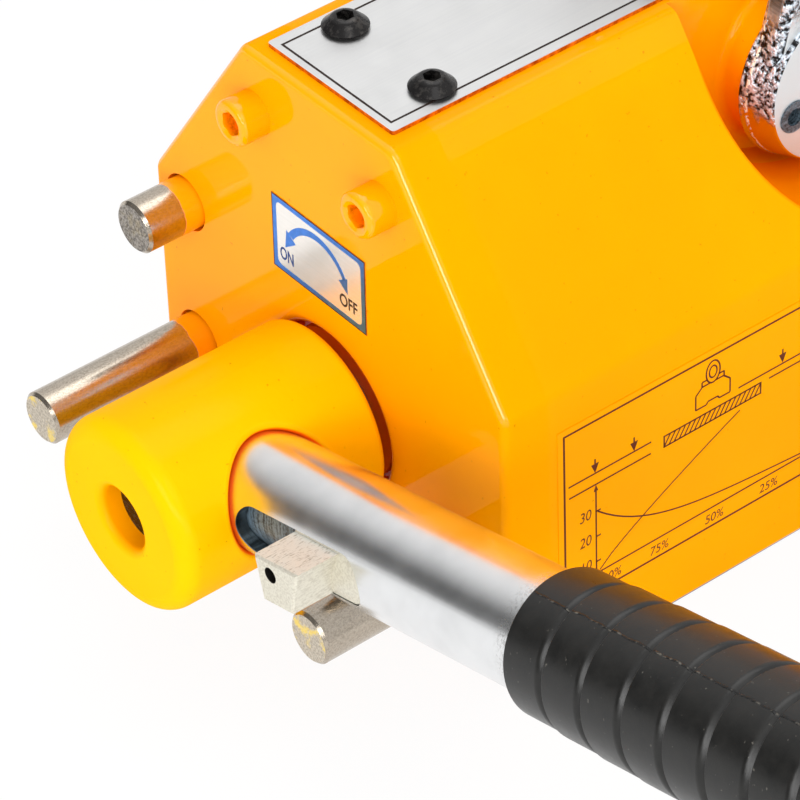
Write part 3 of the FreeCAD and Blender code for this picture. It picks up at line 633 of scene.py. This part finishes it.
def machined(name, light, dark):
    """Plain machined metal for the inner pieces."""
    material, tree, shader = new_material(name)
    lines = noise(tree, place(tree, stretch=(1, 0.05, 0.05)), 800)
    feed(tree, shader, "Base Color", ramp(tree, lines, dark, light, *NOISE_BAND))
    feed(tree, shader, "Roughness", span(tree, lines, 0.25, 0.45))
    shader.inputs["Metallic"].default_value = 1.0
    return material


bare_steel = machined("bare_steel", srgb(178, 178, 180), srgb(128, 128, 130))
bronze = machined("bronze", srgb(205, 160, 96), srgb(160, 118, 62))
nickel = machined("nickel", srgb(196, 194, 188), srgb(160, 158, 152))
slug_zinc = zinc("slug_zinc", srgb(112, 132, 146), srgb(34, 42, 48), streaks=(0.05, 1, 0.05),
                 gloss=0.32, tilt=HANDLE_TILT, metallic=0.4, relief=0.6)
brown_ink = ink("brown_ink", srgb(92, 34, 0))
blue_ink = ink("blue_ink", srgb(72, 132, 222), metallic=0.85)
navy_ink = ink("navy_ink", srgb(36, 66, 128), metallic=0.3)
dark_ink = ink("dark_ink", srgb(48, 38, 34))

looks = {
    pole_enamel(): ["pole_near", "pole_far"],
    cover_enamel(): ["front_cover", "rear_cover", "front_bush"],
    enamel("bridge_enamel", BODY_YELLOW, BODY_YELLOW_DEEP, coat=0.2): ["top_bridge"],
    screw_enamel(): ["front_cover_screws", "rear_cover_screws"],
    hub_enamel(): ["hub"],
    enamel("film_enamel", BODY_YELLOW, BODY_YELLOW_DEEP, coat=0.08, peel=0.02): ["chart_label"],
    pin_zinc("stop_pin_zinc", srgb(228, 219, 204), srgb(178, 168, 152), smeared=0.8): [
        "off_stop_pin", "on_stop_pin"],
    pin_zinc("latch_pin_zinc", srgb(186, 180, 172), srgb(104, 98, 92), smeared=0.1): ["latch_pin"],
    latch_zinc(): ["latch_block"],
    slug_zinc: ["latch_slug", "shackle_roll_pin"],
    tube_chrome(): ["handle_tube"],
    cast_chrome(): ["shackle"],
    chrome("pin_chrome", srgb(200, 200, 200), rough_low=0.16, rough_high=0.28): ["shackle_pin"],
    rubber(): ["grip"],
    sheet_metal("plate_aluminium", srgb(217, 217, 216), srgb(213, 213, 213), rough=0.36,
                streaks=(0.03, 1, 1), face_axis="Z", metallic=1.0): ["rating_plate"],
    sheet_metal("label_foil", srgb(244, 242, 238), srgb(238, 236, 232), rough=0.22,
                streaks=(1, 0.05, 1), face_axis="X", metallic=0.7): ["switch_label"],
    black_oxide(): ["plate_screws", "hub_grub_screw"],
    bronze: ["rear_bush", "rotor_spacers", "bottom_spacer"],
    nickel: ["rotor_magnet", "stator_magnet"],
    bare_steel: ["rotor_pole_upper", "rotor_pole_lower", "front_journal", "rear_journal",
                 "journal_screws", "hub_key", "latch_spring"],
}
for material, names in looks.items():
    for name in names:
        node = nodes[name]
        node.data.materials.clear()
        node.data.materials.append(material)

# Latch spring: a copy of the CAD node with a mesh of its own, held at its end in the hub, riding on
# the handle in place of the hidden CAD node
coil = bpy.data.objects.new("latch_coil", nodes["latch_spring"].data.copy())
scene.collection.objects.link(coil)
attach(coil, "handle")
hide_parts("latch_spring")
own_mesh(coil)


# Print, drawn as thin pieces on the flat faces, in millimetres

INK_DEPTH = 0.03
CAPITAL_SHARE = 0.69  # height of a capital in the font, for a size of 1


class Face:
    """Flat face to draw on, with u to the right and v up as it is read."""

    def __init__(self, origin, u, v):
        self.origin = Vector(origin)
        self.u = Vector(u).normalized()
        self.v = Vector(v).normalized()
        self.out = self.u.cross(self.v)

    def at(self, u, v, out=0.0):
        """Point of the part's frame, in metres."""
        return self.origin + (self.u * u + self.v * v + self.out * out) * MM


class Drawing:
    """One piece of print made of filled outlines on a face."""

    def __init__(self, name, face):
        self.name = name
        self.face = face
        self.mesh = bmesh.new()

    def fill(self, outline):
        """Closed shape from its corner points."""
        bottom = [self.mesh.verts.new(self.face.at(u, v)) for u, v in outline]
        top = [self.mesh.verts.new(self.face.at(u, v, INK_DEPTH)) for u, v in outline]
        self.mesh.faces.new(top)
        self.mesh.faces.new(list(reversed(bottom)))
        for i in range(len(outline)):
            j = (i + 1) % len(outline)
            self.mesh.faces.new((bottom[i], bottom[j], top[j], top[i]))

    def line(self, points, width):
        """Stroke of even width along points."""
        points = [Vector(p) for p in points]
        left, right = [], []
        for i, point in enumerate(points):
            before = points[max(i - 1, 0)]
            after = points[min(i + 1, len(points) - 1)]
            ahead = (after - before).normalized()
            side = Vector((-ahead.y, ahead.x)) * width / 2
            left.append(point + side)
            right.append(point - side)
        self.fill(right + left[::-1])

    def loop(self, outline, width):
        """Stroke inside a closed convex outline given anticlockwise."""
        points = [Vector(p) for p in outline]
        inner = []
        for i, point in enumerate(points):
            back = (points[i - 1] - point).normalized()
            ahead = (points[(i + 1) % len(points)] - point).normalized()
            half = back.angle(ahead) / 2
            inner.append(point + (back + ahead).normalized() * width / math.sin(half))
        for i in range(len(points)):
            j = (i + 1) % len(points)
            self.fill([points[i], points[j], inner[j], inner[i]])

    def arrow(self, tail, tip, width, head_length, head_width):
        """Straight arrow."""
        tail, tip = Vector(tail), Vector(tip)
        ahead = (tip - tail).normalized()
        side = Vector((-ahead.y, ahead.x))
        neck = tip - ahead * head_length
        self.line([tail, neck], width)
        self.fill([neck - side * head_width / 2, tip, neck + side * head_width / 2])

    def text(self, words, u, v, height, width=1.0, weight=0.0, slant=0.0):
        """Words centred on a point, with capitals of this height."""
        curve = bpy.data.curves.new(self.name, "FONT")
        curve.body = words
        curve.align_x = "CENTER"
        curve.align_y = "CENTER"
        curve.extrude = 0.5
        curve.offset = weight
        curve.shear = slant
        holder = bpy.data.objects.new(self.name, curve)
        scene.collection.objects.link(holder)
        flat = bpy.data.meshes.new_from_object(
            holder.evaluated_get(bpy.context.evaluated_depsgraph_get()))
        size = height / CAPITAL_SHARE
        rows = (self.face.u * size * width * MM, self.face.v * size * MM,
                self.face.out * INK_DEPTH * MM)
        turn = Matrix(rows).transposed().to_4x4()
        flat.transform(Matrix.Translation(self.face.at(u, v, INK_DEPTH / 2)) @ turn)
        self.mesh.from_mesh(flat)
        bpy.data.objects.remove(holder)
        bpy.data.curves.remove(curve)
        bpy.data.meshes.remove(flat)

    def finish(self, material, body):
        """Turns the drawing into a piece that rides on a body."""
        bmesh.ops.recalc_face_normals(self.mesh, faces=self.mesh.faces)
        data = bpy.data.meshes.new(self.name)
        self.mesh.to_mesh(data)
        self.mesh.free()
        data.materials.append(material)
        piece = bpy.data.objects.new(self.name, data)
        scene.collection.objects.link(piece)
        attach(piece, body)


def arc(centre, radius, start, end, steps):
    """Points on a circle between two angles in degrees."""
    angles = [math.radians(start + (end - start) * i / steps) for i in range(steps + 1)]
    return [(centre[0] + radius * math.cos(t), centre[1] + radius * math.sin(t)) for t in angles]


def rectangle(left, low, right, high):
    """Corners of an upright rectangle, anticlockwise."""
    return [(left, low), (right, low), (right, high), (left, high)]


def shares(steps):
    """Numbers from 0 to 1 in even steps."""
    return [i / steps for i in range(steps + 1)]


# Switch label: blue frame, bent arrow from ON to OFF, and the two words
LABEL_TILT = math.radians(1.05)
LABEL_WIDTH, LABEL_HEIGHT = 32.3, 20.1
RIM_WIDTH = 0.3
BORDER_WIDTH = 1.5
INNER_ROUNDING = 1.5
label_middle = (label_low + label_high) / 2
label_face = Face(
    (label_low.x, label_middle.y, label_middle.z),
    (0, -math.cos(LABEL_TILT), -math.sin(LABEL_TILT)),
    (0, -math.sin(LABEL_TILT), math.cos(LABEL_TILT)))


def label_corners(inset):
    """Corners of the label, moved in from its edge."""
    half_w, half_h = LABEL_WIDTH / 2 - inset, LABEL_HEIGHT / 2 - inset
    return rectangle(-half_w, -half_h, half_w, half_h)


rim = Drawing("switch_rim", label_face)
rim.loop(label_corners(0), RIM_WIDTH)
rim.finish(dark_ink, "lifter_body")
border = Drawing("switch_border", label_face)
border.loop(label_corners(RIM_WIDTH), BORDER_WIDTH - RIM_WIDTH)
for corner in label_corners(BORDER_WIDTH):
    across, up = math.copysign(1, corner[0]), math.copysign(1, corner[1])
    centre = (corner[0] - across * INNER_ROUNDING, corner[1] - up * INNER_ROUNDING)
    inside = [(centre[0] + across * u, centre[1] + up * v)
              for u, v in arc((0, 0), INNER_ROUNDING, 0, 90, 6)]
    border.fill([corner] + inside)
border.finish(blue_ink, "lifter_body")

# The bow thins from ON to OFF, because its two edges have their centres apart
BOW_CENTRE = (-0.6, -4.2)
BOW_RADIUS = 10.7
BOW_HALF_WIDTH = 0.8
BOW_EDGE_SHIFT = 0.2
BOW_START, BOW_END, BOW_STEPS = 28, 148, 24
bent = Drawing("switch_arrow", label_face)
outer_edge = arc((BOW_CENTRE[0] - BOW_EDGE_SHIFT, BOW_CENTRE[1]),
                 BOW_RADIUS + BOW_HALF_WIDTH, BOW_START, BOW_END, BOW_STEPS)
inner_edge = arc((BOW_CENTRE[0] + BOW_EDGE_SHIFT, BOW_CENTRE[1]),
                 BOW_RADIUS - BOW_HALF_WIDTH, BOW_END, BOW_START, BOW_STEPS)
bent.fill(outer_edge + inner_edge)
bent.fill([(-11.8, -2.8), (-8.0, 0.1), (-11.2, 2.4)])
bent.fill([(9.9, -2.7), (9.9, 1.7), (6.9, -0.3)])
bent.finish(blue_ink, "lifter_body")

WORD_HEIGHT = 3.2
WORD_WEIGHT = 0.016
on_word = Drawing("switch_on", label_face)
on_word.text("ON", -11.3, -5.1, WORD_HEIGHT, width=0.66, weight=WORD_WEIGHT)
on_word.finish(navy_ink, "lifter_body")
off_word = Drawing("switch_off", label_face)
off_word.text("OFF", 10.1, -5.2, WORD_HEIGHT, width=0.76, weight=WORD_WEIGHT)
off_word.finish(dark_ink, "lifter_body")

# Chart on the side: frame, axes with plain numbers, two curves, and a small sketch
CHART_LINE = 0.44
FRAME_LINE = 0.55
HATCH_LINE = 0.4
CHART_WIDTH, CHART_HEIGHT = 85.4, 49.2
FILM_MARGIN_U, FILM_MARGIN_V = 1.5, 1.55
chart_face = Face(
    (film_low.x + FILM_MARGIN_U * MM, film_low.y, film_low.z + FILM_MARGIN_V * MM),
    (1, 0, 0), (0, 0, 1))
chart = Drawing("chart_print", chart_face)
chart.loop(rectangle(0, 0, CHART_WIDTH, CHART_HEIGHT), FRAME_LINE)

AXIS_U, AXIS_END, AXIS_TOP = 9.1, CHART_WIDTH - 8, 31.0
BASE_LINE = 5.6
FIRST_TICK, TICK_PITCH, TICK_LENGTH = 3.4, 7.2, 1.3
ARROW_HEIGHT, ARROW_GAP = 4.0, 0.1
tick_levels = [BASE_LINE + FIRST_TICK + tick * TICK_PITCH for tick in range(3)]
chart.line([(AXIS_U, BASE_LINE), (AXIS_END, BASE_LINE)], CHART_LINE)
chart.arrow((AXIS_U, BASE_LINE), (AXIS_U, AXIS_TOP), CHART_LINE, head_length=1.8, head_width=1.3)
for level in tick_levels:
    chart.line([(AXIS_U, level), (AXIS_U + TICK_LENGTH, level)], CHART_LINE)
for start, end, level in (
        (1.4, 24.9, 34.3), (1.5, 24.8, 31.1), (50.2, 84.0, 35.8), (59.2, 83.9, 33.7)):
    chart.line([(start, level), (end, level)], CHART_LINE)
for place_u, level in ((8.9, 34.3), (20.0, 34.3), (63.2, 35.9), (74.4, 35.9)):
    chart.arrow((place_u, level + ARROW_HEIGHT), (place_u, level + ARROW_GAP), CHART_LINE,
                head_length=2.6, head_width=2.2)

# Two curves over the share of their run: one rises almost straight, one falls and levels out
rising = [(10.1 + 40.6 * t, BASE_LINE + 0.55 + 23.1 * t ** 0.84) for t in shares(12)]
chart.line(rising, CHART_LINE * 0.85)
falling = [(9.6 + 68.0 * t, BASE_LINE + 0.3 + 11.5 * (1 - t) ** 5 + 5.8 * (1 - t))
           for t in shares(28)]
chart.line(falling, CHART_LINE * 0.9)

BAR_START, BAR_END, BAR_LOW, BAR_HIGH = 28.4, 57.0, 30.6, 34.0
HATCHES = 19
HATCH_LEAN = 2.2
HATCH_INSET = 0.1
chart.loop(rectangle(BAR_START, BAR_LOW, BAR_END, BAR_HIGH), CHART_LINE)
hatch_pitch = (BAR_END - BAR_START - HATCH_LEAN) / (HATCHES - 1)
for i in range(HATCHES):
    start = BAR_START + i * hatch_pitch
    chart.line([(start + HATCH_INSET, BAR_LOW + HATCH_INSET),
                (start + HATCH_LEAN - HATCH_INSET, BAR_HIGH - HATCH_INSET)], HATCH_LINE)

SKETCH_U, SKETCH_V = 42.7, 36.1
EYE_RISE = 8.4
EYE_STEPS = 24
body_outline = [
    (0.8, 5.6), (3.1, 5.6), (5.0, 3.9), (5.0, 0), (1.9, 0), (1.4, 0.7), (-1.4, 0.7),
    (-1.9, 0), (-5.0, 0), (-5.0, 3.9), (-3.1, 5.6), (-0.8, 5.6)]
left_shoulder = [(-3.2, 5.6), (-3.2, 6.9), (-1.8, 6.9)]
right_shoulder = [(3.2, 5.6), (3.2, 6.9), (1.8, 6.9)]
for path in (body_outline, left_shoulder, right_shoulder):
    for start, end in zip(path, path[1:]):
        chart.line([(SKETCH_U + start[0], SKETCH_V + start[1]),
                    (SKETCH_U + end[0], SKETCH_V + end[1])], CHART_LINE)
for half_width, half_height in ((2.0, 3.0), (1.1, 1.6)):
    eye = [(SKETCH_U + half_width * math.cos(t), SKETCH_V + EYE_RISE + half_height * math.sin(t))
           for t in [math.tau * i / EYE_STEPS for i in range(EYE_STEPS + 1)]]
    chart.line(eye, CHART_LINE)
chart.finish(brown_ink, "lifter_body")

NUMBER_U, NUMBER_HEIGHT = 6.0, 2.8
PERCENT_V, PERCENT_HEIGHT = 2.6, 2.4
NUMBER_SLANT = 0.12
numbers = Drawing("chart_numbers", chart_face)
for level, label in zip(tick_levels, ("10", "20", "30")):
    numbers.text(label, NUMBER_U, level, NUMBER_HEIGHT, width=0.85, slant=NUMBER_SLANT)
for place_u, label in ((27.2, "75%"), (43.4, "50%"), (59.6, "25%"), (12.6, "100%")):
    numbers.text(label, place_u, PERCENT_V, PERCENT_HEIGHT, width=0.95, slant=NUMBER_SLANT)
numbers.finish(brown_ink, "lifter_body")

# Rating plate: thin black border, otherwise bare
END_INSET, SIDE_INSET = 1.6, 2.6
plate_face = Face((plate_low.x, plate_low.y, plate_high.z), (1, 0, 0), (0, 1, 0))
plate_length = (plate_high.x - plate_low.x) / MM
plate_width = (plate_high.y - plate_low.y) / MM
edge = Drawing("plate_border", plate_face)
edge.loop(rectangle(END_INSET, SIDE_INSET, plate_length - END_INSET, plate_width - SIDE_INSET),
          FRAME_LINE)
edge.finish(dark_ink, "lifter_body")


# Stage: white floor, soft lamps and the photograph's view

FLOOR_HALF = 4.0
FLOOR_DROP = 0.2 * MM
FLOOR_GLOW_SHARE = 0.92


def light_path(tree, *names):
    """1 where a ray is of one of these kinds, else 0."""
    path = tree.nodes.new("ShaderNodeLightPath")
    total = path.outputs[names[0]]
    for name in names[1:]:
        total = math_node(tree, "MAXIMUM", total, path.outputs[name])
    return total


def floor_material():
    """White floor that looks white to the camera and in reflections, with a soft shadow."""
    material, tree, shader = new_material("floor_white")
    shader.inputs["Base Color"].default_value = grey(0.9)
    shader.inputs["Roughness"].default_value = 0.9
    shader.inputs["Specular IOR Level"].default_value = 0.0
    glow = tree.nodes.new("ShaderNodeEmission")
    glow.inputs["Strength"].default_value = 1.0
    mix = tree.nodes.new("ShaderNodeMixShader")
    seen = light_path(tree, "Is Camera Ray", "Is Glossy Ray", "Is Transmission Ray")
    tree.links.new(math_node(tree, "MULTIPLY", seen, FLOOR_GLOW_SHARE), mix.inputs["Fac"])
    tree.links.new(shader.outputs["BSDF"], mix.inputs[1])
    tree.links.new(glow.outputs["Emission"], mix.inputs[2])
    tree.links.new(mix.outputs["Shader"], tree.nodes["Material Output"].inputs["Surface"])
    return material


floor_data = bpy.data.meshes.new("floor")
floor_data.from_pydata(
    [(u, v, 0) for u, v in rectangle(-FLOOR_HALF, -FLOOR_HALF, FLOOR_HALF, FLOOR_HALF)],
    [], [(0, 1, 2, 3)])
floor_data.materials.append(floor_material())
floor = bpy.data.objects.new("floor", floor_data)
floor.location.z = -FLOOR_DROP
scene.collection.objects.link(floor)

# The room gives even light; in the metal it shows bright overhead and dark low on the left
world = bpy.data.worlds.new("studio")
world.use_nodes = True
scene.world = world
sky = world.node_tree
background = sky.nodes["Background"]
slant = sky.nodes.new("ShaderNodeVectorMath")
slant.operation = "DOT_PRODUCT"
slant.inputs[1].default_value = (0.8, 0.0, 1.0)
sky.links.new(sky.nodes.new("ShaderNodeTexCoord").outputs["Generated"], slant.inputs[0])
room = levels(sky, span(sky, slant.outputs["Value"], 0.0, 1.0, -0.15, 1.05),
              ((0.0, 0.12), (0.46, 0.76), (0.67, 0.91), (1.0, 0.95)))
lit = mix_colours(sky, light_path(sky, "Is Glossy Ray"), grey(0.8), room)
sky.links.new(
    mix_colours(sky, light_path(sky, "Is Camera Ray"), lit, grey(1.0)),
    background.inputs["Color"])
background.inputs["Strength"].default_value = 1.0

LAMP_TARGET = Vector((-0.05, -0.05, 0.06))


def lamp(name, location, width, height, watts):
    """Soft light aimed at the part."""
    data = bpy.data.lights.new(name, "AREA")
    data.shape = "RECTANGLE"
    data.size = width
    data.size_y = height
    data.energy = watts
    light = bpy.data.objects.new(name, data)
    light.location = location
    light.rotation_mode = "QUATERNION"
    light.rotation_quaternion = (LAMP_TARGET - Vector(location)).to_track_quat("-Z", "Y")
    scene.collection.objects.link(light)


lamp("key", (-0.5, -1.3, 1.5), width=1.0, height=1.0, watts=5)
lamp("side", (-0.6, -1.7, 0.3), width=1.0, height=0.6, watts=5)
lamp("top", (0.3, 0.3, 1.7), width=1.2, height=1.2, watts=8)
lamp("fill", (-1.45, -0.55, 0.8), width=0.6, height=0.6, watts=7)
lamp("rim", (-1.28, -1.1, 0.5), width=0.9, height=0.3, watts=7)

# Camera fitted to the photograph, which is a crop from the left of a larger picture
CAMERA_PLACE = Vector((-633.8, -700.7, 762.3)) * MM
CAMERA_RIGHT = Vector((0.75755, -0.65277, -0.00368))
CAMERA_UP = Vector((0.41235, 0.47416, 0.77791))
CAMERA_BACK = Vector((-0.50605, -0.59082, 0.62837))
camera_data = bpy.data.cameras.new("camera")
camera_data.sensor_width = 36.0
camera_data.lens = 230.4
camera_data.shift_x = -0.2663
camera_data.shift_y = -0.0633
camera_data.clip_start = 0.05
camera = bpy.data.objects.new("camera", camera_data)
turn = Matrix((CAMERA_RIGHT, CAMERA_UP, CAMERA_BACK)).transposed()
camera.matrix_world = Matrix.Translation(CAMERA_PLACE) @ turn.to_4x4()
scene.collection.objects.link(camera)
scene.camera = camera
